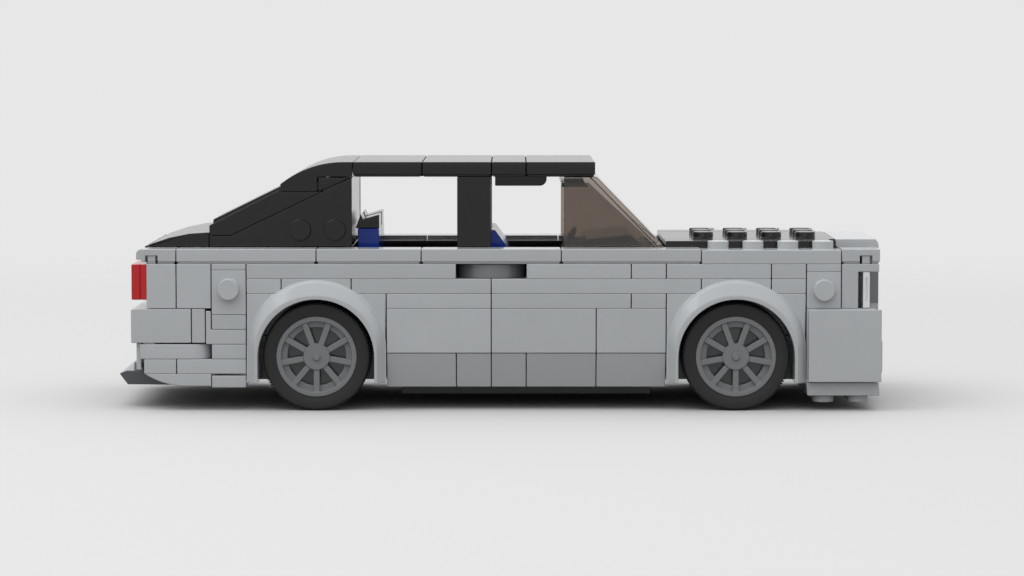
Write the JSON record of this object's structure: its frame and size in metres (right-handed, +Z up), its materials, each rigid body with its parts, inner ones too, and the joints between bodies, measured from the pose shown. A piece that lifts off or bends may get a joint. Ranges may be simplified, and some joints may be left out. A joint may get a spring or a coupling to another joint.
{
  "type": "toy brick sedan",
  "caption": "Toy luxury sedan of interlocking bricks with grey sides, black roof and bonnet, a tinted windscreen, studs left bare and wheels that roll.",
  "frame": {"origin": "middle of the car's bounding box, on the ground the tyres stand on", "axes": "+X forward to the grille, +Y to the car's left, +Z up"},
  "size_m": [0.1772, 0.0688, 0.0567],
  "materials": {
    "grey_abs": "gloss",
    "black_abs": "gloss",
    "dark_grey_abs": "gloss",
    "charcoal_abs": "gloss",
    "dark_blue_abs": "gloss",
    "red_abs": "gloss",
    "tinted_polycarbonate": "gloss",
    "clear_polycarbonate": "gloss",
    "tyre_rubber": "matte"
  },
  "bodies": {
    "car": {"belly_plate": "black_abs", "frame_plates": "black_abs", "axle_carriers": "black_abs", "axle_bricks": "black_abs", "wheel_pins": "dark_grey_abs", "wheel_well_bricks": "black_abs", "floor_plate": "black_abs", "sill_brackets": "black_abs", "sill_pieces": "grey_abs", "door_bricks": "grey_abs", "lower_side_plates": "grey_abs", "middle_side_plates": "grey_abs", "shoulder_plates": "grey_abs", "waist_tiles": "grey_abs", "waist_end_tiles": "grey_abs", "fender_stud_plates": "grey_abs", "door_handles": "dark_grey_abs", "wheel_arches": "grey_abs", "side_stud_bricks": "grey_abs", "rear_quarter_plates": "grey_abs", "rear_corner_bricks": "grey_abs", "tail_lamps": "red_abs", "boot_panel": "grey_abs", "rear_bumper": "grey_abs", "rear_strips": "grey_abs", "rear_valance": "grey_abs", "diffuser": "charcoal_abs", "boot_slopes": "black_abs", "quarter_wedges": "black_abs", "rear_window_slopes": "black_abs", "roof_rear_curves": "black_abs", "roof_tiles": "black_abs", "roof_underplates": "black_abs", "centre_pillars": "black_abs", "inner_sills": "black_abs", "windscreen": "tinted_polycarbonate", "dashboard": "black_abs", "steering_wheel": "black_abs", "seats": "dark_blue_abs", "headrests": "black_abs", "hood_rails": "black_abs", "hood_panel": "black_abs", "bulkheads": "black_abs", "grille_shell": "grey_abs", "grille_bars": "dark_grey_abs", "headlamp_lenses": "clear_polycarbonate", "headlamp_bricks": "grey_abs", "front_corner_bricks": "grey_abs", "front_side_tiles": "grey_abs", "front_bumper": "grey_abs", "front_lip": "grey_abs"},
    "wheel_front_left": {"rim_front_left": "dark_grey_abs", "tyre_front_left": "tyre_rubber"},
    "wheel_front_right": {"rim_front_right": "dark_grey_abs", "tyre_front_right": "tyre_rubber"},
    "wheel_rear_left": {"rim_rear_left": "dark_grey_abs", "tyre_rear_left": "tyre_rubber"},
    "wheel_rear_right": {"rim_rear_right": "dark_grey_abs", "tyre_rear_right": "tyre_rubber"}
  },
  "joints": [
    {"name": "wheel_front_left_spin", "type": "hinge", "parent": "car", "child": "wheel_front_left", "pos_m": [0.0534, 0.0281, 0.0124], "axis": [0, 1, 0], "continuous": true},
    {"name": "wheel_front_right_spin", "type": "hinge", "parent": "car", "child": "wheel_front_right", "pos_m": [0.0534, -0.0281, 0.0124], "axis": [0, 1, 0], "continuous": true},
    {"name": "wheel_rear_left_spin", "type": "hinge", "parent": "car", "child": "wheel_rear_left", "pos_m": [-0.0426, 0.0281, 0.0124], "axis": [0, 1, 0], "continuous": true},
    {"name": "wheel_rear_right_spin", "type": "hinge", "parent": "car", "child": "wheel_rear_right", "pos_m": [-0.0426, -0.0281, 0.0124], "axis": [0, 1, 0], "continuous": true}
  ]
}
